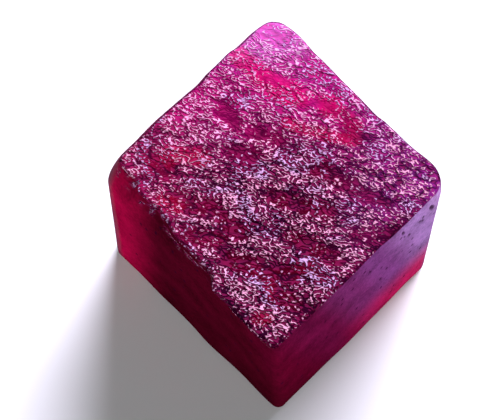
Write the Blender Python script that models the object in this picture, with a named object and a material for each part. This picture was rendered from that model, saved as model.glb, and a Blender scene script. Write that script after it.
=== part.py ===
"""A block of red beryl: one crystal, sawn to a rough cube on five sides.

The sixth side, on top, is the crystal's own skin: etched into wavy ridges and long grooves that
run slantwise over it.  The block is a grid whose rim is pulled down in rows to make the walls, and
every point is then moved by formula.  +X is east, +Y is north, and the block rests on z = 0 with
the middle of its box on the origin.
"""
import math

import bmesh
import bpy
from mathutils import Vector, noise

# ---- driving dimensions, in millimetres unless the name says otherwise ----
MM = 0.001
HEIGHT = 20.5                   # resting face to the general level of the rough top

# Plan corners, clockwise from the south-west one.  Each wall runs from its corner to the next:
# west, north, east, south.  The rim is where the top ends, and the walls lean out a little from
# below the rim's bevel down to the foot.
RIM_CORNERS = ((-9.96, -8.21), (-10.50, 10.39), (10.42, 9.76), (10.35, -10.43))
WALL_CORNERS = ((-10.40, -9.35), (-10.42, 10.28), (10.50, 9.70), (10.46, -10.26))
FOOT_CORNERS = ((-10.86, -9.86), (-10.46, 10.20), (10.84, 9.78), (10.90, -9.98))
RIM_RADII = (1.2, 1.5, 2.0, 0.6)
WALL_RADII = (1.3, 1.6, 1.8, 0.7)
FOOT_RADII = (1.2, 1.8, 1.1, 0.8)

# How far the rim strays from a straight edge: (share of the wall's length, outward distance).
RIM_WANDER = (
    ((0.30, 0.0), (0.45, -0.10), (0.52, -0.21), (0.60, -0.05), (0.72, 0.0), (0.78, -0.22), (0.90, -0.12)),
    ((0.05, 0.10), (0.14, 0.20), (0.26, 0.04), (0.45, -0.08), (0.60, -0.27), (0.655, -0.10), (0.77, -0.12),
     (0.90, 0.05)),
    ((0.10, 0.0), (0.25, 0.06), (0.42, -0.05), (0.60, 0.05), (0.85, 0.0)),
    ((0.03, 0.05), (0.11, 0.35), (0.25, 0.48), (0.335, 0.66), (0.385, -0.08), (0.60, 0.18), (0.70, -0.08),
     (0.83, 0.17), (0.875, -0.28), (0.93, -0.12)),
)
CORNER_FADE = 0.07              # share of a wall, at each end, over which its wandering dies away

# The broken south edge: below the rim it steps out on a narrow ledge, then slopes to the wall.
LEDGE_DEPTH = 0.9               # rim down to the ledge
LEDGE_SHARE = 0.45              # how much of the way out to the wall the ledge reaches
BEVEL_DEPTH_WEST = 3.2          # rim down to the wall, at the chipped south-west corner
BEVEL_DEPTH_EAST = 1.2          # the same at the sound corners

EDGE_ROUNDING = 0.35            # sawn edges around the top
FOOT_ROUNDING = 0.55            # worn edges around the resting face
WALL_WAVINESS = 0.18            # how far the sawn walls stray from flat

# The skin on top.
GRAIN_ANGLE = math.radians(27.0)    # direction of the ridges, from east towards north
RIDGE_SPACING = 2.1             # across the grain
RIDGE_STRETCH = 2.2             # how much longer a ridge is than wide
RIDGE_HEIGHT = 0.14
LUMP_SIZE = 1.15                # smaller lumps on the ridges
LUMP_HEIGHT = 0.06
GROOVE_WIDTH = 1.25
GROOVE_DEPTH = 0.16
GROOVES = (                     # each groove's start and end, as x, y, x, y
    (-3.93, 1.46, -2.02, 2.41), (-3.69, -0.93, -2.50, 0.02), (1.08, -1.51, 5.38, 0.74),
    (2.28, 2.89, 8.25, 4.56), (8.25, 0.98, 9.92, 2.89), (4.90, -2.60, 8.70, -1.41),
    (-1.78, -5.71, 1.56, -5.46), (2.50, -7.62, 7.30, -4.76), (-1.06, -8.33, 1.08, -6.90),
    (7.30, -6.66, 10.4, -6.42), (-7.50, -5.96, -6.10, -5.71), (1.30, 6.74, 2.50, 7.14),
    (-3.90, -6.86, -1.80, -6.16), (-6.75, 1.17, -5.00, 1.07),
)
FAR_CORNER_REACH = 4.6          # the north-west corner is a smooth shoulder this wide
FAR_CORNER_DROP = 0.7
EAST_CORNER_REACH = 2.6         # the north-east corner is only a little worn
EAST_CORNER_DROP = 0.4

# ---- fineness ----
TOP_CELLS = 46                  # grid cells along each side of the top
ROW_DEPTHS = (0.3, 0.65, 1.0, 1.4, 2.2, 3.6, 6.8, 10.6, 14.4, 17.8, 19.9)      # wall rows below the rim
FOOT_ROWS = (0.22, 0.05, 0.0)   # heights of the last rows, above the resting face

CRYSTAL_NAME = "crystal"
COLLECTION_NAME = "red_beryl"


def smooth_step(value, low, high):
    """0 below low, 1 above high, and a smooth rise between."""
    share = min(1.0, max(0.0, (value - low) / (high - low)))
    return share * share * (3.0 - 2.0 * share)


def along_knots(knots, share):
    """The height of a smooth line through the knots, level beyond the first and the last."""
    height = knots[0][1]
    for (start, low), (end, high) in zip(knots, knots[1:]):
        if share >= start:
            height = low + (high - low) * smooth_step(share, start, end)
    return height


def wall_place(u, v):
    """Which wall a point of the square's border belongs to, and how far along it lies, 0 to 1."""
    if abs(u) >= abs(v):
        return (0, (v + 1.0) / 2.0) if u < 0.0 else (2, (1.0 - v) / 2.0)
    return (1, (u + 1.0) / 2.0) if v > 0.0 else (3, (1.0 - u) / 2.0)


def on_line(start, end, share):
    return start.lerp(end, share)


def rounded_outline(corners, radii, wall, share):
    """A point on a four-cornered outline whose corners are arcs."""
    start = Vector(corners[wall])
    end = Vector(corners[(wall + 1) % 4])
    length = (end - start).length
    point = on_line(start, end, share)
    for corner, distance in ((wall, share * length), ((wall + 1) % 4, (1.0 - share) * length)):
        apex = Vector(corners[corner])
        before = (Vector(corners[corner - 1]) - apex).normalized()
        after = (Vector(corners[(corner + 1) % 4]) - apex).normalized()
        half = before.angle(after) / 2.0
        reach = radii[corner] / math.tan(half)
        if distance < reach:
            inward = (before + after).normalized()
            middle = apex + inward * radii[corner] / math.sin(half)
            along = after if corner == wall else before
            flat = (apex + along * reach - middle).normalized()
            turn = (1.0 - distance / reach) * (math.pi / 2.0 - half)
            towards = (-inward - flat * flat.dot(-inward)).normalized()
            point = middle + (flat * math.cos(turn) + towards * math.sin(turn)) * radii[corner]
    return point


def wall_normal(corners, wall):
    """The outward direction of a wall in plan."""
    run = Vector(corners[(wall + 1) % 4]) - Vector(corners[wall])
    return Vector((-run.y, run.x)).normalized()


def away_from_corners(share):
    """0 at both ends of a wall and 1 along its middle."""
    return smooth_step(share, 0.0, CORNER_FADE) * (1.0 - smooth_step(share, 1.0 - CORNER_FADE, 1.0))


def rim_point(wall, share):
    """The top's edge in plan."""
    point = rounded_outline(RIM_CORNERS, RIM_RADII, wall, share)
    wander = along_knots(RIM_WANDER[wall], share) * away_from_corners(share)
    return point + wall_normal(RIM_CORNERS, wall) * wander


def body_point(wall, share, height):
    """The wall in plan, at a height."""
    upper = rounded_outline(WALL_CORNERS, WALL_RADII, wall, share)
    lower = rounded_outline(FOOT_CORNERS, FOOT_RADII, wall, share)
    point = lower.lerp(upper, height / HEIGHT)
    wave = noise.noise(Vector((point.x * 0.22, point.y * 0.22, height * 0.16 + 7.0)))
    return point + wall_normal(WALL_CORNERS, wall) * wave * WALL_WAVINESS * away_from_corners(share)


def bevel_share(wall, share, depth):
    """How much of the way from the rim's outline to the body's the surface has come at a depth."""
    chipped = (1.0 - smooth_step(share, 0.0, 0.35), 0.0, 0.0, smooth_step(share, 0.1, 1.0))[wall]
    full_depth = BEVEL_DEPTH_EAST + (BEVEL_DEPTH_WEST - BEVEL_DEPTH_EAST) * chipped
    slope_out = math.sin(min(1.0, depth / full_depth) * math.pi / 2.0)
    if wall != 3:
        return slope_out
    ledge = smooth_step(share, 0.36, 0.42) * (1.0 - smooth_step(share, 0.74, 0.86))
    shelf = LEDGE_SHARE * smooth_step(depth, LEDGE_DEPTH - 0.2, LEDGE_DEPTH + 0.2)
    below = (1.0 - LEDGE_SHARE) * smooth_step(depth, LEDGE_DEPTH + 0.3, LEDGE_DEPTH + full_depth)
    return slope_out + ledge * (shelf + below - slope_out)


def groove_share(x, y):
    """1 in the bottom of the nearest groove, 0 outside all of them."""
    deepest = 0.0
    bend = 0.35 * noise.noise(Vector((x * 0.7, y * 0.7, 3.0)))
    for x0, y0, x1, y1 in GROOVES:
        run = Vector((x1 - x0, y1 - y0))
        place = Vector((x - x0, y - y0))
        share = min(1.0, max(0.0, place.dot(run) / run.length_squared))
        distance = (place - run * share).length + bend
        deepest = max(deepest, 1.0 - smooth_step(distance, 0.15 * GROOVE_WIDTH, GROOVE_WIDTH))
    return deepest


def corner_drop(x, y, corner, reach, drop):
    """How far a worn corner falls away, at a place on the top."""
    distance = (Vector((x, y)) - Vector(RIM_CORNERS[corner])).length
    return drop * max(0.0, 1.0 - distance / reach) ** 2


def skin_height(x, y):
    """The level of the rough skin, at a place on the top."""
    along = x * math.cos(GRAIN_ANGLE) + y * math.sin(GRAIN_ANGLE)
    across = y * math.cos(GRAIN_ANGLE) - x * math.sin(GRAIN_ANGLE)
    sway = 0.9 * noise.noise(Vector((along * 0.25, across * 0.25, 11.0)))
    ridge = noise.noise(Vector((along / (RIDGE_SPACING * RIDGE_STRETCH), across / RIDGE_SPACING + sway, 0.0)))
    lump = noise.noise(Vector((x / LUMP_SIZE, y / LUMP_SIZE, 5.0)))
    far = corner_drop(x, y, 1, FAR_CORNER_REACH, FAR_CORNER_DROP)
    calm = 1.0 - 0.6 * far / FAR_CORNER_DROP
    crest = 0.5 - 2.0 * abs(ridge)
    height = HEIGHT + calm * (RIDGE_HEIGHT * crest + LUMP_HEIGHT * lump)
    height -= GROOVE_DEPTH * groove_share(x, y)
    return height - far - corner_drop(x, y, 2, EAST_CORNER_REACH, EAST_CORNER_DROP)


def top_point(u, v):
    """A point of the top for a place u, v in the square from -1 to 1."""
    south_west, north_west, north_east, south_east = (Vector(corner) for corner in RIM_CORNERS)
    west = on_line(south_west, north_west, (v + 1.0) / 2.0)
    east = on_line(south_east, north_east, (v + 1.0) / 2.0)
    point = on_line(west, east, (u + 1.0) / 2.0)
    ring = max(abs(u), abs(v))
    if ring > 0.0:
        wall, share = wall_place(u / ring, v / ring)
        straight = on_line(Vector(RIM_CORNERS[wall]), Vector(RIM_CORNERS[(wall + 1) % 4]), share)
        pull = rim_point(wall, share) - straight
        point += pull * smooth_step(ring, 0.45, 1.0)
    if ring > 0.999:
        point -= wall_normal(RIM_CORNERS, wall) * EDGE_ROUNDING * 0.3
    drop = EDGE_ROUNDING * 0.45 * smooth_step(ring, 1.0 - 1.5 / TOP_CELLS, 1.0)
    return Vector((point.x, point.y, skin_height(point.x, point.y) - drop))


def wall_point(u, v, row):
    """A point of the walls, below the border place u, v, in a row counted down from the rim."""
    wall, share = wall_place(u, v)
    rim = rim_point(wall, share)
    rim_height = top_point(u, v).z
    if row <= len(ROW_DEPTHS):
        height = rim_height - ROW_DEPTHS[row - 1] * (rim_height - FOOT_ROUNDING) / (HEIGHT - FOOT_ROUNDING)
    else:
        height = FOOT_ROWS[row - len(ROW_DEPTHS) - 1]
    body = body_point(wall, share, height)
    point = rim.lerp(body, bevel_share(wall, share, rim_height - height))
    if height < FOOT_ROUNDING:
        below = FOOT_ROUNDING - height
        inset = FOOT_ROUNDING - math.sqrt(FOOT_ROUNDING ** 2 - below ** 2)
        centre = Vector((0.0, 0.0))
        point += (centre - point).normalized() * inset
    return Vector((point.x, point.y, height))


def block_mesh():
    """The whole block: a grid, its border drawn down row by row, and a flat face to rest on."""
    block = bmesh.new()
    bmesh.ops.create_grid(block, x_segments=TOP_CELLS, y_segments=TOP_CELLS, size=1.0)
    border = [edge for edge in block.edges if edge.is_boundary]
    for _ in range(len(ROW_DEPTHS) + len(FOOT_ROWS)):
        drawn = bmesh.ops.extrude_edge_only(block, edges=border)["geom"]
        corners = [item for item in drawn if isinstance(item, bmesh.types.BMVert)]
        bmesh.ops.translate(block, verts=corners, vec=(0.0, 0.0, -1.0))
        border = [item for item in drawn if isinstance(item, bmesh.types.BMEdge) and item.is_boundary]
    bmesh.ops.contextual_create(block, geom=border)
    for vert in block.verts:
        u, v, row = vert.co.x, vert.co.y, round(-vert.co.z)
        vert.co = (top_point(u, v) if row == 0 else wall_point(u, v, row)) * MM
    bmesh.ops.recalc_face_normals(block, faces=block.faces)
    mesh = bpy.data.meshes.new(CRYSTAL_NAME)
    block.to_mesh(mesh)
    block.free()
    return mesh


def beryl_material():
    material = bpy.data.materials.new("red_beryl")
    material.use_nodes = True
    shader = material.node_tree.nodes["Principled BSDF"]
    shader.inputs["Base Color"].default_value = (0.21, 0.018, 0.085, 1.0)
    shader.inputs["Roughness"].default_value = 0.35
    shader.inputs["Metallic"].default_value = 0.0
    shader.inputs["IOR"].default_value = 1.57
    return material


def main():
    for thing in list(bpy.data.objects):
        bpy.data.objects.remove(thing, do_unlink=True)
    collection = bpy.data.collections.new(COLLECTION_NAME)
    bpy.context.scene.collection.children.link(collection)
    crystal = bpy.data.objects.new(CRYSTAL_NAME, block_mesh())
    crystal.data.materials.append(beryl_material())
    collection.objects.link(crystal)


main()
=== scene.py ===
# %% [markdown]
# # A block of red beryl
#
# Red beryl is the rare raspberry-coloured cousin of emerald. This piece is one crystal: five of its faces
# were sawn flat and are worn to a frost, and the sixth, on top, still has the skin that it grew with,
# etched into ridges, grooves and fine creases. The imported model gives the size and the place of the
# block, so it is loaded first, and everything that follows is fitted to it.

# %% Load the frame
import math

import bmesh
import bpy
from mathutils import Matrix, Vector, noise


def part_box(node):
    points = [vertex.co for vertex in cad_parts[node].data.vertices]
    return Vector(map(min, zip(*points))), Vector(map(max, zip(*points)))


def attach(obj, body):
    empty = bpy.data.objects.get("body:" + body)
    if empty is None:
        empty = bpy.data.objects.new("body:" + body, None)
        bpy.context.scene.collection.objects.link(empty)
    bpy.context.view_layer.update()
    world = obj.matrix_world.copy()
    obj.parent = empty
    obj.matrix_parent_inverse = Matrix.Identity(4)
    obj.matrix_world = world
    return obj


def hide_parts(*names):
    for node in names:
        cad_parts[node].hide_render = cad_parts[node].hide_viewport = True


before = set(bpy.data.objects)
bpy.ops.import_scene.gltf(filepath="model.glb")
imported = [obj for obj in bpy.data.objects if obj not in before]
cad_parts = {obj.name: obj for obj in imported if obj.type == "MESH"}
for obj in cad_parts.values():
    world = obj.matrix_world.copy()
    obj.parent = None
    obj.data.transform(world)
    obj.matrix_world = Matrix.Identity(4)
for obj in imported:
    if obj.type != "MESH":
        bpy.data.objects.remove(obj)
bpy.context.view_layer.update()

block_low, block_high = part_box("crystal")
print("the block's box, mm:", [round(1000 * (high - low), 2) for low, high in zip(block_low, block_high)])

# %% [markdown]
# ## The camera
#
# A small block looks its size when the camera is close and looks down on it. The lens is given by how
# many picture widths away the block is, so the camera is placed by an azimuth, an elevation and a
# distance from the point that it looks at. The block's nearest upright edge then faces the camera. The
# lamps will be placed in the same way, so the two helpers are written for both.

# %% Helpers for placing things
MM = 0.001


def direction(azimuth, elevation):
    """The way from the block towards a viewer or a lamp, for two angles in degrees."""
    around, up = math.radians(azimuth), math.radians(elevation)
    return Vector((math.sin(around) * math.cos(up), -math.cos(around) * math.cos(up), math.sin(up)))


def aim(thing, place, target):
    """Put a camera or a lamp at a place, looking at a target."""
    thing.location = place
    thing.rotation_euler = (target - place).to_track_quat("-Z", "Y").to_euler()


def show(name, data):
    """Make an object of some data and put it in the scene."""
    thing = bpy.data.objects.new(name, data)
    bpy.context.scene.collection.objects.link(thing)
    return thing


# %% Place the camera
CAMERA_AZIMUTH = 45.0
CAMERA_ELEVATION = 70.0
CAMERA_DISTANCE = 124.15 * MM
LENS_MM = 112.3
SENSOR_MM = 36.0
LOOK_AT = Vector((0.80, -3.45, 20.5)) * MM

camera_data = bpy.data.cameras.new("camera")
camera_data.lens = LENS_MM
camera_data.sensor_width = SENSOR_MM
camera_data.clip_start = 1.0 * MM
camera = show("camera", camera_data)
aim(camera, LOOK_AT + direction(CAMERA_AZIMUTH, CAMERA_ELEVATION) * CAMERA_DISTANCE, LOOK_AT)
bpy.context.scene.camera = camera
print("camera at, mm:", [round(value / MM, 1) for value in camera.location])

# %% [markdown]
# ## Smooth steps
#
# Nearly every form on a worn stone begins and ends softly. Two small helpers do that all through this
# lesson: one rises smoothly from 0 to 1 between two values, and the other draws a smooth line through a
# few knots. Modifiers could round things too, but a formula keeps each form where it is meant to be.

# %% Smooth steps and lines


def smooth_step(value, low, high):
    """0 below low, 1 above high, and a smooth rise between."""
    share = min(1.0, max(0.0, (value - low) / (high - low)))
    return share * share * (3.0 - 2.0 * share)


def along_knots(knots, share):
    """The height of a smooth line through the knots, level beyond the first and the last."""
    height = knots[0][1]
    for (start, low), (end, high) in zip(knots, knots[1:]):
        if share >= start:
            height = low + (high - low) * smooth_step(share, start, end)
    return height


print("half-way up a step:", smooth_step(0.5, 0.0, 1.0))

# %% [markdown]
# ## The outline
#
# Seen from above the block is a four-cornered shape with worn corners, and no two sides are quite
# parallel. An outline like this could be drawn as a curve, but a function is handier: it says where the
# border is at any share of a wall's length, so the same lines serve the top and each row of the walls.
# There are three of them, for the rim of the top, the walls just below it and the foot.

# %% Corners of the outline, in millimetres
HEIGHT = 20.5
HALF_TOP = 10.3
WEST, NORTH, EAST, SOUTH = range(4)
RIM_CORNERS = ((-9.96, -8.21), (-10.50, 10.39), (10.42, 9.76), (10.35, -10.43))
WALL_CORNERS = ((-10.40, -9.35), (-10.42, 10.28), (10.50, 9.70), (10.46, -10.26))
FOOT_CORNERS = ((-10.86, -9.86), (-10.46, 10.20), (10.84, 9.78), (10.90, -9.98))
RIM_RADII = (1.2, 1.5, 2.0, 0.6)
WALL_RADII = (1.3, 1.6, 1.8, 0.7)
FOOT_RADII = (1.2, 1.8, 1.1, 0.8)


def wall_place(u, v):
    """Which wall a point of the square's border belongs to, and how far along it lies, 0 to 1."""
    if abs(u) >= abs(v):
        return (WEST, (v + 1.0) / 2.0) if u < 0.0 else (EAST, (1.0 - v) / 2.0)
    return (NORTH, (u + 1.0) / 2.0) if v > 0.0 else (SOUTH, (1.0 - u) / 2.0)


def wall_normal(corners, wall):
    """The outward direction of a wall in plan."""
    run = Vector(corners[(wall + 1) % 4]) - Vector(corners[wall])
    return Vector((-run.y, run.x)).normalized()


lengths = [(Vector(RIM_CORNERS[(wall + 1) % 4]) - Vector(RIM_CORNERS[wall])).length for wall in range(4)]
print("the rim's sides, mm:", [round(length, 1) for length in lengths])

# %% [markdown]
# ### Rounded corners
#
# A corner that has been handled is an arc. The points of a wall keep their even spacing, and those that
# come close to a corner are swung onto its arc, so that the mesh has as many cells round a corner as it
# has on the flat.

# %% A rounded outline


def rounded_outline(corners, radii, wall, share):
    """A point on a four-cornered outline whose corners are arcs."""
    start = Vector(corners[wall])
    end = Vector(corners[(wall + 1) % 4])
    length = (end - start).length
    point = start.lerp(end, share)
    for corner, distance in ((wall, share * length), ((wall + 1) % 4, (1.0 - share) * length)):
        if distance > 1.5 * radii[corner]:
            continue
        apex = Vector(corners[corner])
        before = (Vector(corners[corner - 1]) - apex).normalized()
        after = (Vector(corners[(corner + 1) % 4]) - apex).normalized()
        half = before.angle(after) / 2.0
        reach = radii[corner] / math.tan(half)
        if distance < reach:
            inward = (before + after).normalized()
            middle = apex + inward * radii[corner] / math.sin(half)
            along = after if corner == wall else before
            flat = (apex + along * reach - middle).normalized()
            turn = (1.0 - distance / reach) * (math.pi / 2.0 - half)
            towards = (-inward - flat * flat.dot(-inward)).normalized()
            point = middle + (flat * math.cos(turn) + towards * math.sin(turn)) * radii[corner]
    return point


print("the far corner's arc, mm:", [tuple(round(value, 2) for value in rounded_outline(
    RIM_CORNERS, RIM_RADII, NORTH, share)) for share in (0.0, 0.02, 0.05)])

# %% [markdown]
# ### The rim
#
# The skin broke away in places along the rim, so the rim wanders in and out by a few tenths of a
# millimetre. Each wall has a row of knots for that: a share of its length, and how far the rim stands
# out there.

# %% The rim's wander, in millimetres
RIM_WANDER = (
    ((0.30, 0.0), (0.45, -0.10), (0.52, -0.21), (0.60, -0.05), (0.72, 0.0), (0.78, -0.22), (0.90, -0.12)),
    ((0.05, 0.10), (0.14, 0.20), (0.26, 0.04), (0.45, -0.08), (0.60, -0.27), (0.655, -0.10), (0.77, -0.12),
     (0.90, 0.05)),
    ((0.10, 0.0), (0.25, 0.06), (0.42, -0.05), (0.60, 0.05), (0.85, 0.0)),
    ((0.03, 0.05), (0.11, 0.35), (0.25, 0.48), (0.335, 0.66), (0.385, -0.08), (0.60, 0.18), (0.70, -0.08),
     (0.83, 0.17), (0.875, -0.28), (0.93, -0.12)),
)
CORNER_FADE = 0.07


def away_from_corners(share):
    """0 at both ends of a wall and 1 along its middle."""
    return smooth_step(share, 0.0, CORNER_FADE) * (1.0 - smooth_step(share, 1.0 - CORNER_FADE, 1.0))


def rim_point(wall, share):
    """The top's edge in plan."""
    point = rounded_outline(RIM_CORNERS, RIM_RADII, wall, share)
    wander = along_knots(RIM_WANDER[wall], share) * away_from_corners(share)
    return point + wall_normal(RIM_CORNERS, wall) * wander


middles = [rim_point(wall, 0.5) for wall in range(4)]
print("the rim's half-way points, mm:", [(round(point.x, 2), round(point.y, 2)) for point in middles])

# %% [markdown]
# ## Grooves and worn corners
#
# The deepest grooves give this block its face, so they are placed one by one, each by its two ends. One
# distance function makes a soft trough along each, and a slow noise bends its sides. Two corners of the
# top are worn down: the far one to a broad smooth shoulder, the eastern one a little.

# %% Grooves, in millimetres
GROOVE_WIDTH = 1.25
GROOVE_BEND = 0.35
BENDS_PER_MM = 0.7
GROOVES = (
    (-3.93, 1.46, -2.02, 2.41), (-3.69, -0.93, -2.50, 0.02), (1.08, -1.51, 5.38, 0.74),
    (2.28, 2.89, 8.25, 4.56), (8.25, 0.98, 9.92, 2.89), (4.90, -2.60, 8.70, -1.41),
    (-1.78, -5.71, 1.56, -5.46), (2.50, -7.62, 7.30, -4.76), (-1.06, -8.33, 1.08, -6.90),
    (7.30, -6.66, 10.4, -6.42), (-7.50, -5.96, -6.10, -5.71), (1.30, 6.74, 2.50, 7.14),
    (-3.90, -6.86, -1.80, -6.16), (-6.75, 1.17, -5.00, 1.07),
)


def distance_to_line(x, y, line):
    """How far a place is from a straight line between two ends."""
    x0, y0, x1, y1 = line
    run_x, run_y = x1 - x0, y1 - y0
    share = ((x - x0) * run_x + (y - y0) * run_y) / (run_x * run_x + run_y * run_y)
    share = min(1.0, max(0.0, share))
    return math.hypot(x - x0 - run_x * share, y - y0 - run_y * share)


def groove_share(x, y):
    """1 in the bottom of the nearest groove, 0 outside all of them."""
    deepest = 0.0
    bend = GROOVE_BEND * noise.noise(Vector((x * BENDS_PER_MM, y * BENDS_PER_MM, 3.0)))
    for line in GROOVES:
        distance = distance_to_line(x, y, line) + bend
        if distance < GROOVE_WIDTH:
            deepest = max(deepest, 1.0 - smooth_step(distance, 0.15 * GROOVE_WIDTH, GROOVE_WIDTH))
    return deepest


print("in a groove and beside it:", round(groove_share(3.2, -0.4), 2), round(groove_share(3.2, 1.2), 2))

# %% Worn corners, in millimetres
FAR_CORNER_REACH = 4.6
FAR_CORNER_DROP = 0.7
EAST_CORNER_REACH = 2.6
EAST_CORNER_DROP = 0.4


def corner_share(x, y, corner, reach):
    """1 at a corner of the rim, falling to 0 at its reach."""
    distance = math.hypot(x - RIM_CORNERS[corner][0], y - RIM_CORNERS[corner][1])
    return max(0.0, 1.0 - distance / reach) ** 2


def calm(x, y):
    """How smooth the skin is, from 0 where it is wrinkled to 1 where it is worn or deep."""
    far = corner_share(x, y, NORTH, 1.25 * FAR_CORNER_REACH)
    return min(1.0, 0.75 * groove_share(x, y) + 1.1 * far)


print("how smooth the far corner is, and the middle:", round(calm(-9.5, 9.5), 2), round(calm(0.0, 0.0), 2))

# %% [markdown]
# ## Ridges and wrinkles
#
# Beryl that has been eaten a little by hot fluids is left with long ridges that all lean the same way.
# Noise that is stretched along one direction makes ridges like that, and a crest comes from folding the
# noise: one minus its absolute value is sharp where the noise is zero. Low lumps keep the ridges from
# being even. The last number in each noise's place picks a slice of the noise, so that no two patterns
# are alike.
#
# Between the ridges the skin has low wrinkles under a millimetre apart. They are folded noise again, and
# the place where the noise is read is first pushed about by a second noise, so that the crests wriggle.
# The finest creases, a quarter of a millimetre wide, are left to the material: drawn in the mesh, they
# would need ten times as many points.

# %% Relief of the skin, in millimetres
GRAIN_ANGLE = math.radians(27.0)
RIDGE_SPACING = 2.1
RIDGE_STRETCH = 2.2
RIDGE_HEIGHT = 0.08
SWAY = 0.9
SWAYS_PER_MM = 0.25
LUMP_SIZE = 1.15
LUMP_HEIGHT = 0.06
GROOVE_DEPTH = 0.14


def skin_height(x, y):
    """The level of the rough skin, at a place on the top."""
    along = x * math.cos(GRAIN_ANGLE) + y * math.sin(GRAIN_ANGLE)
    across = y * math.cos(GRAIN_ANGLE) - x * math.sin(GRAIN_ANGLE)
    sway = SWAY * noise.noise(Vector((along * SWAYS_PER_MM, across * SWAYS_PER_MM, 11.0)))
    ridge = noise.noise(Vector((along / (RIDGE_SPACING * RIDGE_STRETCH), across / RIDGE_SPACING + sway, 0.0)))
    lump = noise.noise(Vector((x / LUMP_SIZE, y / LUMP_SIZE, 5.0)))
    far = corner_share(x, y, NORTH, FAR_CORNER_REACH)
    crest = 0.5 - 2.0 * abs(ridge)
    height = HEIGHT + (1.0 - 0.6 * far) * (RIDGE_HEIGHT * crest + LUMP_HEIGHT * lump)
    height -= GROOVE_DEPTH * groove_share(x, y)
    worn = EAST_CORNER_DROP * corner_share(x, y, EAST, EAST_CORNER_REACH)
    return height - FAR_CORNER_DROP * far - worn


print("the skin's level in the middle, mm:", round(skin_height(0.0, 0.0), 3))

# %% Wrinkles of the skin, in millimetres
WRINKLE_SPACING = 0.85
WRINKLE_HEIGHT = 0.02
WRINKLE_WRIGGLE = 0.30
WRIGGLE_LENGTH = 0.7
CRUMBS_PER_WRINKLE = 2.1


def wrinkle(x, y):
    """Height of the wrinkles at a place on the top."""
    push_x = noise.noise(Vector((x / WRIGGLE_LENGTH, y / WRIGGLE_LENGTH, 31.0)))
    push_y = noise.noise(Vector((x / WRIGGLE_LENGTH, y / WRIGGLE_LENGTH, 47.0)))
    place_x = (x + WRINKLE_WRIGGLE * push_x) / WRINKLE_SPACING
    place_y = (y + WRINKLE_WRIGGLE * push_y) / WRINKLE_SPACING
    fold = abs(noise.noise(Vector((place_x, place_y, 21.0))))
    crumb = noise.noise(Vector((place_x * CRUMBS_PER_WRINKLE, place_y * CRUMBS_PER_WRINKLE, 3.0)))
    return WRINKLE_HEIGHT * (0.6 - 2.4 * fold + 0.35 * crumb)


heights = [wrinkle(0.1 * step, 0.3) for step in range(100)]
print("the wrinkles go from and to, mm:", round(min(heights), 3), round(max(heights), 3))

# %% [markdown]
# ## The walls
#
# A saw leaves a flat wall, and years of handling blur its edges. Each wall is drawn down from the rim in
# rows, from the rim's outline out to the body's. Near the top the rows are close together, for the bevel
# under the rim, the narrow ledge on the south side and the small pits near the north-east corner.
# Further down they can be far apart.

# %% Body and bevel of the walls, in millimetres
ROW_DEPTHS = (0.06, 0.14, 0.24, 0.36, 0.50, 0.66, 0.84, 1.02, 1.20, 1.38, 1.56, 1.74, 1.92, 2.10, 2.30, 2.55,
              2.80, 3.05, 3.35, 3.65, 3.95, 4.5, 5.6, 7.2, 9.4, 11.8, 14.2, 16.4, 18.2, 19.4)
FOOT_ROWS = (0.40, 0.22, 0.10, 0.03, 0.0)
WALL_WAVINESS = 0.18
WAVES_PER_MM = 0.22
WAVES_PER_MM_UP = 0.16
BEVEL_DEPTH_WEST = 3.2
BEVEL_DEPTH_EAST = 1.2
LEDGE_DEPTH = 0.9
LEDGE_SHARE = 0.45
LEDGE_START = (0.36, 0.42)
LEDGE_END = (0.74, 0.86)


def body_point(wall, share, height):
    """The wall in plan, at a height."""
    upper = rounded_outline(WALL_CORNERS, WALL_RADII, wall, share)
    lower = rounded_outline(FOOT_CORNERS, FOOT_RADII, wall, share)
    point = lower.lerp(upper, height / HEIGHT)
    wave = noise.noise(Vector((point.x * WAVES_PER_MM, point.y * WAVES_PER_MM, height * WAVES_PER_MM_UP + 7.0)))
    return point + wall_normal(WALL_CORNERS, wall) * wave * WALL_WAVINESS * away_from_corners(share)


def bevel_share(wall, share, depth):
    """How much of the way from the rim's outline to the body's the surface has come at a depth."""
    chipped = (1.0 - smooth_step(share, 0.0, 0.35), 0.0, 0.0, smooth_step(share, 0.1, 1.0))[wall]
    full_depth = BEVEL_DEPTH_EAST + (BEVEL_DEPTH_WEST - BEVEL_DEPTH_EAST) * chipped
    slope_out = math.sin(min(1.0, depth / full_depth) * math.pi / 2.0)
    if wall != SOUTH:
        return slope_out
    ledge = smooth_step(share, *LEDGE_START) * (1.0 - smooth_step(share, *LEDGE_END))
    shelf = LEDGE_SHARE * smooth_step(depth, LEDGE_DEPTH - 0.2, LEDGE_DEPTH + 0.2)
    below = (1.0 - LEDGE_SHARE) * smooth_step(depth, LEDGE_DEPTH + 0.3, LEDGE_DEPTH + full_depth)
    return slope_out + ledge * (shelf + below - slope_out)


out_at = [round(bevel_share(SOUTH, 0.5, depth), 2) for depth in (1.0, 3.0)]
print("how far out the south bevel is at 1 and 3 mm:", out_at)

# %% [markdown]
# ### Pits
#
# A few small pits are left in the east wall where grains broke out. Each has its share of the wall's
# length, its depth below the rim and a radius. They lean with the grain, which slants down the wall.

# %% Pits of the east wall, in millimetres
PITS = ((0.103, 1.88, 0.46), (0.168, 2.83, 0.26), (0.150, 2.35, 0.20), (0.150, 3.30, 0.24), (0.276, 1.28, 0.28),
        (0.227, 3.67, 0.30), (0.262, 2.70, 0.16), (0.460, 3.36, 0.22))
PIT_LEAN = 0.62
PIT_DEPTH = 0.16
WALL_LENGTH = 20.0


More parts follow.
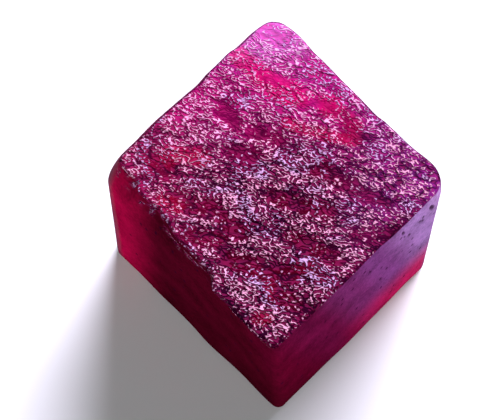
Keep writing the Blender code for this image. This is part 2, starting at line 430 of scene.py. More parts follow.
def pit_depth(wall, share, depth):
    """How deep a small pit goes into the east wall."""
    if wall != EAST:
        return 0.0
    deepest = 0.0
    for pit_share, pit_level, radius in PITS:
        aside = (share - pit_share) * WALL_LENGTH
        distance = math.hypot(aside, aside + (depth - pit_level) * PIT_LEAN)
        deepest = max(deepest, PIT_DEPTH * (1.0 - smooth_step(distance, 0.3 * radius, radius)))
    return deepest


print("the largest pit's depth, mm:", pit_depth(EAST, *PITS[0][:2]))

# %% [markdown]
# ## One closed mesh
#
# The whole block is one surface: a square grid for the top, whose border is drawn down row by row with
# extrude, and one flat face to close it. Every point keeps its place in the grid, u and v, and its row,
# until the last step moves it to where the functions above say. Cells of the top are about 0.08 mm, so a
# wrinkle has ten of them.

# %% Where each point goes
EDGE_ROUNDING = 0.35
EDGE_INSET = 0.3 * EDGE_ROUNDING
EDGE_DROP = 0.45 * EDGE_ROUNDING
FOOT_ROUNDING = 0.55
PULL_START = 0.45


def top_point(u, v):
    """A point of the top for a place u, v in the square from -1 to 1."""
    south_west, north_west, north_east, south_east = (Vector(corner) for corner in RIM_CORNERS)
    west = south_west.lerp(north_west, (v + 1.0) / 2.0)
    east = south_east.lerp(north_east, (v + 1.0) / 2.0)
    point = west.lerp(east, (u + 1.0) / 2.0)
    ring = max(abs(u), abs(v))
    rounding = 0.0
    if ring > PULL_START:
        wall, share = wall_place(u / ring, v / ring)
        straight = Vector(RIM_CORNERS[wall]).lerp(Vector(RIM_CORNERS[(wall + 1) % 4]), share)
        pull = rim_point(wall, share) - straight
        point += pull * smooth_step(ring, PULL_START, 1.0)
        rounding = smooth_step(ring, 1.0 - EDGE_ROUNDING / HALF_TOP, 1.0)
        point -= wall_normal(RIM_CORNERS, wall) * EDGE_INSET * rounding
    height = skin_height(point.x, point.y) - EDGE_DROP * rounding
    height += wrinkle(point.x, point.y) * (1.0 - 0.85 * calm(point.x, point.y))
    return Vector((point.x, point.y, height))


def wall_point(u, v, row, rim_height):
    """A point of the walls, below the border place u, v, in a row counted down from the rim."""
    wall, share = wall_place(u, v)
    rim = rim_point(wall, share)
    if row <= len(ROW_DEPTHS):
        height = rim_height - ROW_DEPTHS[row - 1] * (rim_height - FOOT_ROUNDING) / (HEIGHT - FOOT_ROUNDING)
    else:
        height = FOOT_ROWS[row - len(ROW_DEPTHS) - 1]
    depth = rim_height - height
    body = body_point(wall, share, height)
    point = rim.lerp(body, bevel_share(wall, share, depth))
    inset = EDGE_INSET * (1.0 - smooth_step(depth, 0.0, EDGE_ROUNDING)) + pit_depth(wall, share, depth)
    point -= wall_normal(WALL_CORNERS, wall) * inset
    if height < FOOT_ROUNDING:
        below = FOOT_ROUNDING - height
        point -= point.normalized() * (FOOT_ROUNDING - math.sqrt(FOOT_ROUNDING ** 2 - below ** 2))
    return Vector((point.x, point.y, height))


print("the middle of the top, mm:", [round(value, 2) for value in top_point(0.0, 0.0)])

# %% Build the crystal
TOP_CELLS = 248


def grow_grid():
    """The square grid with its skirt of rows, closed below, each row one unit under the last."""
    block = bmesh.new()
    bmesh.ops.create_grid(block, x_segments=TOP_CELLS, y_segments=TOP_CELLS, size=1.0)
    border = [edge for edge in block.edges if edge.is_boundary]
    for _ in range(len(ROW_DEPTHS) + len(FOOT_ROWS)):
        drawn = bmesh.ops.extrude_edge_only(block, edges=border)["geom"]
        corners = [item for item in drawn if isinstance(item, bmesh.types.BMVert)]
        bmesh.ops.translate(block, verts=corners, vec=(0.0, 0.0, -1.0))
        border = [item for item in drawn if isinstance(item, bmesh.types.BMEdge) and item.is_boundary]
    bmesh.ops.contextual_create(block, geom=border)
    return block


block = grow_grid()
rim_heights = {}
grid_places = [(vert.co.x, vert.co.y, round(-vert.co.z)) for vert in block.verts]
for vert, (u, v, row) in sorted(zip(block.verts, grid_places), key=lambda pair: pair[1][2]):
    if row == 0:
        point = top_point(u, v)
        rim_heights[round(u, 4), round(v, 4)] = point.z
    else:
        point = wall_point(u, v, row, rim_heights[round(u, 4), round(v, 4)])
    vert.co = point * MM
bmesh.ops.recalc_face_normals(block, faces=block.faces)
mesh = bpy.data.meshes.new("beryl_block")
block.to_mesh(mesh)
block.free()
mesh.shade_smooth()
crystal = show("beryl_block", mesh)
print("triangles in the block:", sum(len(face.vertices) - 2 for face in mesh.polygons))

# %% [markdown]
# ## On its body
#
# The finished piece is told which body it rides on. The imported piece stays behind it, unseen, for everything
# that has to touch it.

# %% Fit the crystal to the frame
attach(crystal, "root")
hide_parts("crystal")

# %% [markdown]
# ## Where each finish lies
#
# Colour and roughness follow the shape: the grooves are smooth and darkened with painted shade, the skin is
# creased, and two of the walls are still as coarse as the saw left them while the other two were rubbed
# smoother. The mesh knows where all this is, so it is written down as a few numbers from 0 to 1 for each point,
# which the material reads by name. Such a mask could also be painted by hand, but a mask that is worked out
# stays right when a groove is moved.

# %% Masks that follow the shape
points = [vertex.co / MM for vertex in mesh.vertices]
top_points = (TOP_CELLS + 1) ** 2


def write_mask(name, values):
    """Keep one number for each point of the mesh under a name."""
    mask = mesh.attributes.new(name, "FLOAT", "POINT")
    mask.data.foreach_set("value", values)
    print("mask", name, "covers", round(100.0 * sum(values) / len(values), 1), "% of the points")


def coarse_share(x, y):
    """1 on the two walls that the saw left coarse, 0 on the two that were rubbed smoother."""
    return max(smooth_step(-x, 9.0, 10.2), smooth_step(y, 8.4, 9.5))


def depth_of(row):
    """How far below the rim a row of the walls lies."""
    return ROW_DEPTHS[row - 1] if row <= len(ROW_DEPTHS) else HEIGHT


write_mask("groove", [groove_share(point.x, point.y) if index < top_points else 0.0
                      for index, point in enumerate(points)])
write_mask("coarse", [0.0 if index < top_points else coarse_share(point.x, point.y)
                      for index, point in enumerate(points)])

# %% [markdown]
# ### Scraps under the rim
#
# The skin doesn't stop in a straight line. Along the south rim scraps of it hang down over the edge, and
# a noise with a hard threshold cuts out scraps of about their size.

# %% Skin and its scraps
SCRAP_SIZE = 0.9
SCRAP_DEPTH = 1.3


def skin_share(u, v, row, point):
    """1 on the grown skin, and less in the scraps of it that are left under the south rim."""
    if row == 0:
        return 1.0
    wall, share = wall_place(u, v)
    depth = depth_of(row)
    if wall != SOUTH or depth > SCRAP_DEPTH:
        return 0.0
    scrap = smooth_step(noise.noise(Vector((point.x / SCRAP_SIZE, 5.0, 2.0 * point.z / SCRAP_SIZE))), 0.0, 0.25)
    return scrap * away_from_corners(share) * (1.0 - smooth_step(depth, 0.5 * SCRAP_DEPTH, SCRAP_DEPTH))


write_mask("skin", [skin_share(*place, point) for place, point in zip(grid_places, points)])

# %% [markdown]
# ### Painted shade at the edges
#
# Where one looks along the surface of a deep red stone, as at a sharp edge or in a pit, it is nearly black, and
# here that darkness is painted as shade. The west and north rims have a hair-thin line of painted shade, the
# pits are painted dark, and a soft strip of painted shade lies on the skin along the east rim.

# %% Painted shade: dark lines, pits and the strip by the east rim
RIM_LINE = (0.984, 0.996)
RIM_LINE_DEPTH = (0.06, 0.24)
STRIP_WIDTH = (0.4, 1.8)
STRIP_END = (0.55, 0.85)


def edge_share(u, v, row):
    """1 on the thin line of painted shade along the west and north rims, and in the pits, which are painted
    dark.
    """
    if row == 0:
        return smooth_step(max(-u, v), *RIM_LINE)
    wall, share = wall_place(u, v)
    depth = depth_of(row)
    if wall in (EAST, SOUTH):
        return min(1.0, 2.5 * pit_depth(wall, share, depth) / PIT_DEPTH)
    return 1.0 - smooth_step(depth, *RIM_LINE_DEPTH)


def shade_share(u, v, row):
    """1 in the strip of painted shade on the top along the east rim."""
    if row > 0:
        return 0.0
    return (1.0 - smooth_step((1.0 - u) * HALF_TOP, *STRIP_WIDTH)) * (1.0 - smooth_step(v, *STRIP_END))


write_mask("edge", [edge_share(*place) for place in grid_places])
write_mask("shade", [shade_share(*place) for place in grid_places])

# %% [markdown]
# ### Smooth and red places
#
# Three bands of the skin near the far corner are smooth, and the skin is rubbed away in gaps along the south
# rim and in a narrow strip along the east one. Here and there the skin is painted redder, in bands along the
# grain. Bands are drawn by their two ends and a width, as the grooves were.

# %% Smooth places and red bands, in millimetres
SMOOTH_BANDS = ((-6.9, 5.5, -5.1, 6.5, 0.7), (-2.6, 6.6, -0.5, 7.7, 0.7), (-10.0, 8.8, -8.4, 9.1, 1.1))
RED_BANDS = ((-9.5, 5.4, -6.8, 5.5, 1.6), (-6.8, 5.5, -4.2, 6.1, 1.9), (-4.2, 6.1, -0.8, 7.4, 1.7),
             (-0.8, 7.4, 1.5, 7.8, 1.3), (-2.2, 4.1, 2.5, 6.6, 1.1),
             (-7.0, -4.7, -5.3, -3.1, 1.5), (-4.6, -7.6, -3.6, -7.3, 1.3), (7.6, -9.3, 8.2, -9.0, 1.2))
GAP_SIZE = 0.8
GAP_REACH = (0.3, 1.4)
RUBBED_STRIP = (0.25, 0.75)


def band_share(x, y, bands):
    """1 along the middle of the nearest soft-edged band, 0 outside all of them."""
    return max(1.0 - smooth_step(distance_to_line(x, y, line), 0.2 * width, width) for *line, width in bands)


def frayed_share(u, v, point):
    """1 where the skin is worn away, in gaps along the south rim and a narrow strip along the east one."""
    gap = smooth_step(noise.noise(Vector((point.x / GAP_SIZE, point.y / GAP_SIZE, 13.0))), -0.05, 0.2)
    south = gap * (1.0 - smooth_step((v + 1.0) * HALF_TOP, *GAP_REACH))
    return max(south, 1.0 - smooth_step((1.0 - u) * HALF_TOP, *RUBBED_STRIP))


write_mask("calm", [
    max(calm(point.x, point.y), band_share(point.x, point.y, SMOOTH_BANDS), frayed_share(u, v, point))
    if row == 0 else 0.0 for (u, v, row), point in zip(grid_places, points)])
write_mask("red", [band_share(point.x, point.y, RED_BANDS) if index < top_points else 0.0
                   for index, point in enumerate(points)])

# %% [markdown]
# ## Beryl
#
# Beryl is a clear silicate with an index of refraction of about 1.57 to 1.58. Manganese makes it red, and
# it soaks up green most, blue less and red least, so thin places are pink, deeper ones crimson and the
# middle nearly black. A volume that absorbs light does just that, and it will be the last node. From the
# camera, though, next to nothing of it is seen: the look of this block is nearly all painted, with the
# colours of a deep stone laid on its etched and frosted surface.
#
# Two helpers are enough for the whole material. One turns the usual hex colours into the linear numbers
# that shaders use. The other adds a node of any kind with its settings and links, and gives back one of
# its outputs, so that the next node can be linked to it at once. A few settings come back again and
# again, and have names: a mix of two colours, a fade with a soft start and end, and a noise that goes
# from -1 to 1. The mix node has its sockets twice, for numbers and for colours, so they go by number.

# %% Colours and nodes
SHARE, LOW, HIGH, UNDER, OVER = 0, 2, 3, 6, 7
COLOURS = {"out": 2, "data_type": "RGBA"}
SOFT = {"interpolation_type": "SMOOTHSTEP"}
SIGNED = {"normalize": False}


def linear(hex_colour):
    """An sRGB hex colour as the linear numbers that Blender's shaders use."""
    parts = [int(hex_colour[index:index + 2], 16) / 255.0 for index in (1, 3, 5)]
    return [part / 12.92 if part <= 0.04045 else ((part + 0.055) / 1.055) ** 2.4 for part in parts] + [1.0]


def add_node(tree, kind, inputs=(), out=0, stops=(), **settings):
    """Add a node: inputs come in order or by name, stops are a ramp's colours, the rest are its settings."""
    node = tree.nodes.new("ShaderNode" + kind)
    for name, value in settings.items():
        setattr(node, name, value)
    for name, value in inputs.items() if isinstance(inputs, dict) else enumerate(inputs):
        if isinstance(value, bpy.types.NodeSocket):
            tree.links.new(value, node.inputs[name])
        else:
            node.inputs[name].default_value = value
    for index, (position, stop_colour) in enumerate(stops):
        ramp = node.color_ramp
        ramp.interpolation = "EASE"
        if index == 0:
            ramp.elements.remove(ramp.elements[1])
            ramp.elements[0].position = position
            ramp.elements[0].color = linear(stop_colour)
        else:
            ramp.elements.new(position).color = linear(stop_colour)
    return node.outputs[out] if len(node.outputs) else None


print("half grey in linear numbers:", [round(part, 3) for part in linear("#808080")])

# %% [markdown]
# ### Places in the crystal
#
# Textures read the object's own coordinates, turned to millimetres, so that every size below is a real
# one. The masks are read by their names. The crystal is also zoned, so three more numbers say how far a
# place lies inward, towards the far corner, how far sideways and how high.

# %% Places and masks
material = bpy.data.materials.new("red_beryl_etched")
material.use_nodes = True
beryl = material.node_tree
beryl.nodes.clear()

coords = add_node(beryl, "TexCoord", out="Object")
place = add_node(beryl, "VectorMath", {0: coords, "Scale": 1.0 / MM}, operation="SCALE")
height = add_node(beryl, "SeparateXYZ", [place], out="Z")
inward = add_node(beryl, "VectorMath", [place, (-0.7071, 0.7071, 0.0)], out="Value", operation="DOT_PRODUCT")
sideways = add_node(beryl, "VectorMath", [place, (0.7071, 0.7071, 0.0)], out="Value", operation="DOT_PRODUCT")
skin, calm_skin, groove, red_band, coarse, edge, shade = (
    add_node(beryl, "Attribute", out="Fac", attribute_name=name)
    for name in ("skin", "calm", "groove", "red", "coarse", "edge", "shade"))
print("nodes for places and masks:", len(beryl.nodes))

# %% [markdown]
# ### Creases and cracks
#
# The skin's finest creases are a noise again, stretched along the grain and pushed about by a second
# noise. Where that noise is zero there is a crest: a bell-shaped line along the border between its light
# and dark parts. A coarser noise draws fine cracks in the same way. Both are bump rather than mesh, and
# they are weak where the skin is calm.

# %% Creases and cracks, in millimetres
WRIGGLE_SIZE = 0.625
WRIGGLE_PUSH = 0.15
CREASE_SIZE = 0.23
CREASE_STRETCH = 1.9
CREASE_WIDTH = 0.30
CRACK_SIZE = 1.3
CRACK_WIDTH = 0.12


def line_of(value, width):
    """1 where the value is 0, falling off like a bell."""
    narrow = add_node(beryl, "Math", [value, width], operation="DIVIDE")
    square = add_node(beryl, "Math", [narrow, narrow], operation="MULTIPLY")
    falling = add_node(beryl, "Math", [square, -1.0], operation="MULTIPLY")
    return add_node(beryl, "Math", [falling], operation="EXPONENT")


wriggle = add_node(beryl, "TexNoise", {"Vector": place, "Scale": 1.0 / WRIGGLE_SIZE, "Detail": 0.0},
                   out="Color", **SIGNED)
pushed = add_node(beryl, "VectorMath", [wriggle, (WRIGGLE_PUSH, WRIGGLE_PUSH, 0.0), place],
                  operation="MULTIPLY_ADD")
along_grain = add_node(beryl, "Mapping", {
    "Vector": pushed, "Rotation": (0.0, 0.0, GRAIN_ANGLE), "Scale": (CREASE_STRETCH, 1.0, 1.0)},
    vector_type="TEXTURE")
crease = add_node(beryl, "TexNoise", {"Vector": along_grain, "Scale": 1.0 / CREASE_SIZE, "Detail": 0.0},
                  **SIGNED)
split = add_node(beryl, "TexNoise", {"Vector": along_grain, "Scale": 1.0 / CRACK_SIZE, "Detail": 1.0},
                 **SIGNED)
crest = line_of(crease, CREASE_WIDTH)
crack = add_node(beryl, "Math", [line_of(split, CRACK_WIDTH), skin], operation="MULTIPLY")
print("a crease is about", CREASE_SIZE, "mm across and", round(CREASE_SIZE * CREASE_STRETCH, 2), "mm long")

# %% [markdown]
# ### Saw marks and the bump
#
# A saw leaves fine level lines on a wall, here about 0.2 mm apart and drawn by a noise that is squeezed
# flat. The two walls that were rubbed have lost them. One bump node takes the creases, the cracks and
# the saw marks together, with heights in millimetres.

# %% Saw marks and relief, in millimetres
CREASE_HEIGHT = 0.09
CALM_HEIGHT = 0.2
SAW_SPACING = 0.22
SAW_DEPTH = 0.03
SAW_TILT = math.radians(4.0)

saw_place = add_node(beryl, "Mapping", {
    "Vector": place, "Rotation": (0.0, SAW_TILT, 0.0), "Scale": (0.05, 0.05, 1.0)})
saw = add_node(beryl, "TexNoise", {"Vector": saw_place, "Scale": 1.0 / SAW_SPACING, "Detail": 2.0}, **SIGNED)
saw_depth = add_node(beryl, "Math", [coarse, SAW_DEPTH], operation="MULTIPLY")
calmed = add_node(beryl, "Mix", {SHARE: calm_skin, LOW: 1.0, HIGH: CALM_HEIGHT})
strength = add_node(beryl, "Math", [skin, calmed], operation="MULTIPLY")
crease_height = add_node(beryl, "Math", [strength, CREASE_HEIGHT], operation="MULTIPLY")
folds = add_node(beryl, "Math", [crest, crack], operation="SUBTRACT")
folds = add_node(beryl, "Math", [folds, crease_height], operation="MULTIPLY")
marks_and_folds = add_node(beryl, "Math", [saw, saw_depth, folds], operation="MULTIPLY_ADD")
relief = add_node(beryl, "Bump", {"Height": marks_and_folds, "Distance": MM}, out="Normal")
print("nodes with the relief:", len(beryl.nodes))

# %% [markdown]
# ### Painted glints on the crests
#
# The glitter of the skin is painted: short wriggly strokes of pale colour on the crests of the creases stand in
# for the glints of light on them. They follow the same noise as the creases, only narrower. A second noise
# breaks them into short pieces, and they are lost where the skin is calm, in the grooves, along the cracks and
# a little in the red places. Strokes of the real width would be too fine to see with the whole block in view,
# so they are drawn about half as wide again.

# %% Painted glints, in millimetres
GLINT_WIDTH = 0.14
GLINT_LENGTH = 0.25
PATCH_SIZE = 2.6
LOST = {"calm": 0.4, "groove": 0.2, "crack": 0.45, "red": 0.08}

patches = add_node(beryl, "TexNoise", {"Vector": place, "Scale": 1.0 / PATCH_SIZE, "Detail": 1.0}, **SIGNED)
breaks = add_node(beryl, "TexNoise", {"Vector": place, "Scale": 1.0 / GLINT_LENGTH, "Detail": 0.0}, **SIGNED)
red = add_node(beryl, "Math", [patches, 0.8, red_band], operation="MULTIPLY_ADD")
red = add_node(beryl, "MapRange", [red, 0.2, 0.95], **SOFT)
lost = add_node(beryl, "Math", [crack, LOST["crack"]], operation="MULTIPLY")
lost = add_node(beryl, "Math", [groove, LOST["groove"], lost], operation="MULTIPLY_ADD")
lost = add_node(beryl, "Math", [calm_skin, LOST["calm"], lost], operation="MULTIPLY_ADD")
lost = add_node(beryl, "Math", [red, LOST["red"], lost], operation="MULTIPLY_ADD")
kept = add_node(beryl, "Math", [breaks, lost], operation="SUBTRACT")
kept = add_node(beryl, "MapRange", [kept, -0.31, -0.01], **SOFT)
kept = add_node(beryl, "Math", [kept, skin], operation="MULTIPLY")
beside_split = add_node(beryl, "Math", [split], operation="ABSOLUTE")
beside_split = add_node(beryl, "MapRange", [beside_split, 0.03, 0.3, 0.75, 1.0], **SOFT)
painted_glints = add_node(beryl, "Math", [line_of(crease, GLINT_WIDTH), kept], operation="MULTIPLY")
painted_glints = add_node(beryl, "Math", [painted_glints, beside_split], operation="MULTIPLY")
print("nodes with the frost:", len(beryl.nodes))

# %% [markdown]
# ### The zones and their painted glow
#
# The crystal is pale at its far corner and deepens towards the opposite one, with purple on one side and
# crimson on the other. This is partly the stone's own zoning and partly painted glow: the light that would
# shine through the thin far corner is laid on as pale colour, and the deep near corner is painted dark. One
# ramp along the inward direction holds the colours from the deep corner to the pale one, and a slow noise keeps
# the zones from being straight. The two sides are tinted over it.

# %% Colour between the crests
ZONE_WOBBLE = 3.0
WOBBLES_PER_MM = 0.22
ZONE_ENDS = (-14.5, 14.5)
HOLLOW_COLOURS = ((0.05, "#280016"), (0.30, "#2C001A"), (0.50, "#340022"), (0.62, "#680444"), (0.72, "#980860"),
                  (0.82, "#A41474"), (0.93, "#C050A8"))
PURPLE_SIDE = "#8C2488"
CRIMSON_SIDE = "#A01450"

wobble = add_node(beryl, "TexNoise", {"Vector": place, "Scale": WOBBLES_PER_MM, "Detail": 2.0}, **SIGNED)
zone_and_glow = add_node(beryl, "Math", [wobble, ZONE_WOBBLE, inward], operation="MULTIPLY_ADD")
zone_and_glow = add_node(beryl, "MapRange", [zone_and_glow, *ZONE_ENDS])
# The ramp holds the zones together with the painted glow of the far corner.
hollow = add_node(beryl, "ValToRGB", [zone_and_glow], stops=HOLLOW_COLOURS)
for start, end, tint in ((3.0, 13.0, PURPLE_SIDE), (-2.0, -13.0, CRIMSON_SIDE)):
    share = add_node(beryl, "MapRange", [sideways, start, end, 0.0, 0.6], **SOFT)
    hollow = add_node(beryl, "Mix", {SHARE: share, UNDER: hollow, OVER: linear(tint)}, **COLOURS)
print("colours from the deep corner to the pale one:", len(HOLLOW_COLOURS))

# %% [markdown]
# ### Red places, grooves and shade
#
# The red bands, the painted shade of the grooves and the painted shade by the east rim each lay a colour over
# the last one, by the share that their mask gives. The red is itself a ramp on the zones, so it is brighter
# where they are pale and takes on their painted glow. Along a crack the surface is painted nearly black, as
# shade in the step.

# %% Red places, grooves, shade and cracks
RED_COLOURS = ((0.35, "#940420"), (0.65, "#AC0438"), (0.80, "#D0085C"))
GROOVE_SHADE = "#580014"
RIM_SHADE = "#38001C"
EDGE_LINE = "#280420"

red_colour = add_node(beryl, "ValToRGB", [zone_and_glow], stops=RED_COLOURS)
# Red bands, then painted shade in the grooves and in the strip by the east rim.
layers = ((red, 0.6, red_colour), (groove, 0.5, linear(GROOVE_SHADE)), (shade, 0.8, linear(RIM_SHADE)))
for mask, most, tint in layers:
    share = add_node(beryl, "Math", [mask, most], operation="MULTIPLY")
    hollow = add_node(beryl, "Mix", {SHARE: share, UNDER: hollow, OVER: tint}, **COLOURS)
crack_shade = add_node(beryl, "MapRange", [zone_and_glow, 0.5, 0.8, 0.8, 0.3], **SOFT)
crack_shade = add_node(beryl, "Math", [crack, crack_shade], operation="MULTIPLY")
hollow = add_node(beryl, "Mix", {SHARE: crack_shade, UNDER: hollow, OVER: linear(EDGE_LINE)}, **COLOURS)
print("nodes with the colour between the crests:", len(beryl.nodes))

# %% [markdown]
# ### Painted glints and their outlines
#
# Each painted glint has a thin dark outline of painted shade, for the side of a crest that turns away from the
# light and shows the depth of the stone. The outline is the same bell-shaped line, twice as wide, under the
# stroke. Broad hollows between the strokes are a little lighter. The painted glints are pink, cooler in
# patches, and take a little of the red.

# %% Colour of the skin
BROAD_HOLLOW = "#C42C74"
HOLLOW_EDGE = "#1C000C"
CREST_COLOURS = ((0.05, "#F0A8CC"), (0.55, "#F6A8CC"), (0.75, "#FCA8D8"), (0.93, "#FCB8E8"))
COOL_CREST = "#C4ACEC"

broad = add_node(beryl, "Math", [crease], operation="ABSOLUTE")
broad = add_node(beryl, "MapRange", [broad, 0.2, 0.35], **SOFT)
broad = add_node(beryl, "Math", [broad, 0.2], operation="MULTIPLY")
hollow = add_node(beryl, "Mix", {SHARE: broad, UNDER: hollow, OVER: linear(BROAD_HOLLOW)}, **COLOURS)
# The painted shade of the outline, under each glint.
beside = add_node(beryl, "Math", [line_of(crease, 2.0 * GLINT_WIDTH), kept], operation="MULTIPLY")
hollow = add_node(beryl, "Mix", {SHARE: beside, UNDER: hollow, OVER: linear(HOLLOW_EDGE)}, **COLOURS)
cool = add_node(beryl, "MapRange", [patches, -0.1, 0.4, 0.0, 0.6], **SOFT)
crest_colour = add_node(beryl, "ValToRGB", [zone_and_glow], stops=CREST_COLOURS)
crest_colour = add_node(beryl, "Mix", {SHARE: cool, UNDER: crest_colour, OVER: linear(COOL_CREST)}, **COLOURS)
share = add_node(beryl, "Math", [red, 0.2], operation="MULTIPLY")
crest_colour = add_node(beryl, "Mix", {SHARE: share, UNDER: crest_colour, OVER: red_colour}, **COLOURS)
# The skin's colour: the painted glints laid over the hollows.
skin_colour = add_node(beryl, "Mix", {SHARE: painted_glints, UNDER: hollow, OVER: crest_colour}, **COLOURS)
print("nodes with the colour of the skin:", len(beryl.nodes))

# %% [markdown]
# ### The walls
#
# The two rubbed walls are a fine frost, like sea glass, and their colour is painted sheen and shade: nearly
# black crimson at their common edge, where shade is painted, and lavender towards the eastern corner and higher
# up, where a sheen of the bright room is painted. Their outer ends have a painted glow of warm red, as if light
# came through the stone there. The two coarse walls follow the zones of the crystal instead, with the painted
# glow of the far corner, and turn purple or crimson to the sides.

# %% Colour of the rubbed walls
WALL_COLOURS = ((0.05, "#480418"), (0.20, "#540420"), (0.38, "#5C0C34"), (0.52, "#682458"), (0.64, "#743874"),
                (0.82, "#946CA4"), (0.95, "#B488BC"))
CORNER_GLOW = "#B00840"

# Painted sheen and shade: the ramp grows lighter up the wall and towards the eastern corner.
rise = add_node(beryl, "Math", [height, 0.012], operation="MULTIPLY")
rise = add_node(beryl, "Math", [sideways, 0.05, rise], operation="MULTIPLY_ADD")
rubbed_colour = add_node(beryl, "ValToRGB", [rise], stops=WALL_COLOURS)
# A painted warm glow at the west end, and low down at the east end.
west_end = add_node(beryl, "MapRange", [sideways, -9.0, -14.0, 0.0, 0.9], **SOFT)
east_end = add_node(beryl, "MapRange", [sideways, 5.0, 12.0], **SOFT)
low = add_node(beryl, "MapRange", [height, 10.0, 3.0, 0.0, 0.8], **SOFT)
east_end = add_node(beryl, "Math", [east_end, low], operation="MULTIPLY")
for share in (west_end, east_end):
    rubbed_colour = add_node(beryl, "Mix", {
        SHARE: share, UNDER: rubbed_colour, OVER: linear(CORNER_GLOW)}, **COLOURS)
print("nodes with the rubbed walls:", len(beryl.nodes))

# %% Colour of the coarse walls
COARSE_COLOURS = ((0.45, "#440420"), (0.62, "#580830"), (0.78, "#781450"), (0.94, "#A03C80"))

# The coarse walls take the same zones, and with them the painted glow of the far corner.
coarse_colour = add_node(beryl, "ValToRGB", [zone_and_glow], stops=COARSE_COLOURS)
for end, tint in ((13.0, PURPLE_SIDE), (-13.0, CRIMSON_SIDE)):
    share = add_node(beryl, "MapRange", [sideways, 0.0, end, 0.0, 0.5], **SOFT)
    coarse_colour = add_node(beryl, "Mix", {SHARE: share, UNDER: coarse_colour, OVER: linear(tint)}, **COLOURS)
wall_colour = add_node(beryl, "Mix", {SHARE: coarse, UNDER: rubbed_colour, OVER: coarse_colour}, **COLOURS)
print("nodes with the coarse walls:", len(beryl.nodes))

# %% [markdown]
# ### Specks
#
# The rubbed walls have dark specks painted on them, about a millimetre apart. A Voronoi texture has one point
# in each cell, a dot round it is a speck, and a number from the cell's colour leaves out every second one. Two
# noises mottle the walls a little, less so on the coarse ones.

# %% Specks and mottling
SPECK_SPACING = 1.0
SPECK_STRETCH = 0.6
MOTTLE = 0.35

flattened = add_node(beryl, "VectorMath", [place, (1.0, 1.0, SPECK_STRETCH)], operation="MULTIPLY")
speck_distance = add_node(beryl, "TexVoronoi", {"Vector": flattened, "Scale": 1.0 / SPECK_SPACING})
speck_colour = speck_distance.node.outputs["Color"]
picked = add_node(beryl, "Math", [speck_colour, 7.0], operation="MULTIPLY")
picked = add_node(beryl, "Math", [picked], operation="FRACT")
picked = add_node(beryl, "Math", [picked, 0.5], operation="GREATER_THAN")
speck = add_node(beryl, "MapRange", [speck_distance, 0.20, 0.10], **SOFT)
speck = add_node(beryl, "Math", [speck, picked], operation="MULTIPLY")
mottle = add_node(beryl, "Math", [patches, MOTTLE, 1.0], operation="MULTIPLY_ADD")
mottle = add_node(beryl, "Math", [breaks, MOTTLE, mottle], operation="MULTIPLY_ADD")
mottled = add_node(beryl, "Mix", {SHARE: 1.0, UNDER: wall_colour, OVER: mottle}, **COLOURS,
                   blend_type="MULTIPLY")
share = add_node(beryl, "Mix", {SHARE: coarse, LOW: 1.0, HIGH: 0.25})
wall_colour = add_node(beryl, "Mix", {SHARE: share, UNDER: wall_colour, OVER: mottled}, **COLOURS)
share = add_node(beryl, "Mix", {SHARE: coarse, LOW: 0.7, HIGH: 0.0})
share = add_node(beryl, "Math", [speck, share], operation="MULTIPLY")
wall_colour = add_node(beryl, "Mix", {SHARE: share, UNDER: wall_colour, OVER: linear(EDGE_LINE)}, **COLOURS)
print("nodes with the specks:", len(beryl.nodes))

# %% [markdown]
# ### Light through the stone
#
# Skin and walls meet by the skin's mask, and the painted shade of the dark edges lies over both. How much light
# goes through is a share of the shader's transmission. Frost scatters nearly all of it, so the skin lets little
# through. A rubbed wall lets more through where one looks straight at it than along it, and more low down, away
# from the frosted bevel. The coarse walls let the most through. Little of this shows from the camera: with no
# transmission at all, the picture changes by about one level in 255.

# %% Colour and transmission together
colour = add_node(beryl, "Mix", {SHARE: skin, UNDER: wall_colour, OVER: skin_colour}, **COLOURS)
# The painted shade of the dark edges goes over the colour here.
share = add_node(beryl, "Math", [edge, 0.85], operation="MULTIPLY")
colour = add_node(beryl, "Mix", {SHARE: share, UNDER: colour, OVER: linear(EDGE_LINE)}, **COLOURS)

facing = add_node(beryl, "LayerWeight", {"Blend": 0.5}, out="Facing")
rubbed_clear = add_node(beryl, "MapRange", [facing, 0.2, 0.7, 0.4, 0.0], **SOFT)
low_down = add_node(beryl, "MapRange", [height, 8.0, 17.0, 1.0, 0.0], **SOFT)
rubbed_clear = add_node(beryl, "Math", [rubbed_clear, low_down], operation="MULTIPLY")
coarse_clear = add_node(beryl, "MapRange", [facing, 0.7, 0.95, 0.6, 0.2], **SOFT)
wall_clear = add_node(beryl, "Mix", {SHARE: coarse, LOW: rubbed_clear, HIGH: coarse_clear})
skin_clear = add_node(beryl, "Mix", {SHARE: painted_glints, LOW: 0.03, HIGH: 0.02})
clear = add_node(beryl, "Mix", {SHARE: skin, LOW: wall_clear, HIGH: skin_clear})
dimmed = add_node(beryl, "Mix", {SHARE: edge, LOW: 1.0, HIGH: 0.2})
clear = add_node(beryl, "Math", [clear, dimmed], operation="MULTIPLY")
print("nodes with the transmission:", len(beryl.nodes))

# %% [markdown]
# ### The shader
#
# The skin has the lowest roughness and the coarse walls the highest. Real beryl has a white gloss, but a
# white one laid a grey haze over these walls. So the gloss level is 0 and its tint crimson, which leaves
# next to no gloss. The volume takes out green over a few millimetres and blue over about twenty, and
# leaves the red.

# %% Beryl shader and volume
IOR = 1.57
SKIN_ROUGHNESS = 0.25
RUBBED_ROUGHNESS = 0.35
COARSE_ROUGHNESS = 0.7
GLOSS_TINT = "#A01850"
ABSORPTION_COLOUR = (0.93, 0.05, 0.65, 1.0)
ABSORPTION_DENSITY = 140.0

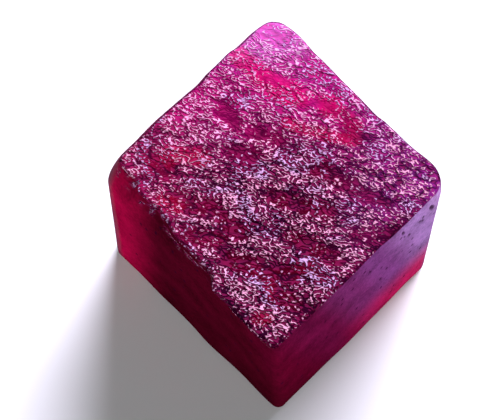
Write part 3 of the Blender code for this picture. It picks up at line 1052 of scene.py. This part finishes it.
wall_roughness = add_node(beryl, "Mix", {SHARE: coarse, LOW: RUBBED_ROUGHNESS, HIGH: COARSE_ROUGHNESS})
roughness = add_node(beryl, "Mix", {SHARE: skin, LOW: wall_roughness, HIGH: SKIN_ROUGHNESS})
surface = add_node(beryl, "BsdfPrincipled", {
    "Base Color": colour, "Roughness": roughness, "IOR": IOR, "Transmission Weight": clear,
    "Specular IOR Level": 0.0, "Specular Tint": linear(GLOSS_TINT), "Normal": relief})
volume = add_node(beryl, "VolumeAbsorption", {"Color": ABSORPTION_COLOUR, "Density": ABSORPTION_DENSITY})
add_node(beryl, "OutputMaterial", {"Surface": surface, "Volume": volume})
mesh.materials.append(material)
through_block = [math.exp(-ABSORPTION_DENSITY * (1.0 - part) * HEIGHT * MM) for part in ABSORPTION_COLOUR[:3]]
print("red, green and blue that come through the block:", [round(part, 2) for part in through_block])

# %% [markdown]
# ## Floor
#
# The block rests on a large pale card, matt like uncoated paper, so that nothing but the block has any colour.
# One flat square is enough.

# %% Floor
FLOOR_HALF = 3.0
FLOOR_COLOUR = "#F4F8F8"

floor_mesh = bpy.data.meshes.new("floor")
floor_form = bmesh.new()
bmesh.ops.create_grid(floor_form, x_segments=1, y_segments=1, size=FLOOR_HALF)
floor_form.to_mesh(floor_mesh)
floor_form.free()
floor = show("floor", floor_mesh)
floor_material = bpy.data.materials.new("pale_card")
floor_material.use_nodes = True
floor_shader = floor_material.node_tree.nodes["Principled BSDF"]
floor_shader.inputs["Base Color"].default_value = linear(FLOOR_COLOUR)
floor_shader.inputs["Roughness"].default_value = 0.9
floor_shader.inputs["Specular IOR Level"].default_value = 0.1
floor_mesh.materials.append(floor_material)

# %% [markdown]
# ## Light
#
# The key light stands behind the block, so it rakes over the skin towards the viewer and every crease
# has a bright and a dark side. A weak fill from the front right keeps the walls from going black. Both
# are suns with a wide angle, which makes the shadows as soft as those of a studio lamp behind a sheet.

# %% Key and fill
LAMPS = (("key", 200.0, 35.0, 40.0, 8.0, "#F4ECFF"), ("fill", 60.0, 25.0, 60.0, 1.5, "#FFFFFF"))

for name, azimuth, elevation, angle, energy, lamp_colour in LAMPS:
    lamp_data = bpy.data.lights.new(name, "SUN")
    lamp_data.angle = math.radians(angle)
    lamp_data.energy = energy
    lamp_data.color = linear(lamp_colour)[:3]
    aim(show(name, lamp_data), direction(azimuth, elevation), Vector((0.0, 0.0, 0.0)))
    print(name, "light from azimuth", azimuth, "and elevation", elevation)

# %% [markdown]
# ## The studio round it
#
# The room is white round the horizon and dark overhead. The white gives the walls and the card their
# even light, and the dark ceiling sends little light down on the skin, which keeps it deep in colour.

# %% Studio
HORIZON = "#FFFFFF"
CEILING = "#1C2028"
CEILING_RISE = (0.08, 0.35)

world = bpy.data.worlds.new("studio")
bpy.context.scene.world = world
world.use_nodes = True
sky = world.node_tree
sky.nodes.clear()
sky_height = add_node(sky, "SeparateXYZ", [add_node(sky, "TexCoord", out="Generated")], out="Z")
overhead = add_node(sky, "MapRange", [sky_height, *CEILING_RISE], **SOFT)
sky_colour = add_node(sky, "Mix", {SHARE: overhead, UNDER: linear(HORIZON), OVER: linear(CEILING)}, **COLOURS)
background = add_node(sky, "Background", {"Color": sky_colour, "Strength": 1.0})
add_node(sky, "OutputWorld", {"Surface": background})
bpy.context.scene.view_settings.view_transform = "Standard"
print("nodes in the sky:", len(sky.nodes))

# %% [markdown]
# ## The last update
#
# The last line brings the scene's objects up to date.

# %% Update the scene
bpy.context.view_layer.update()
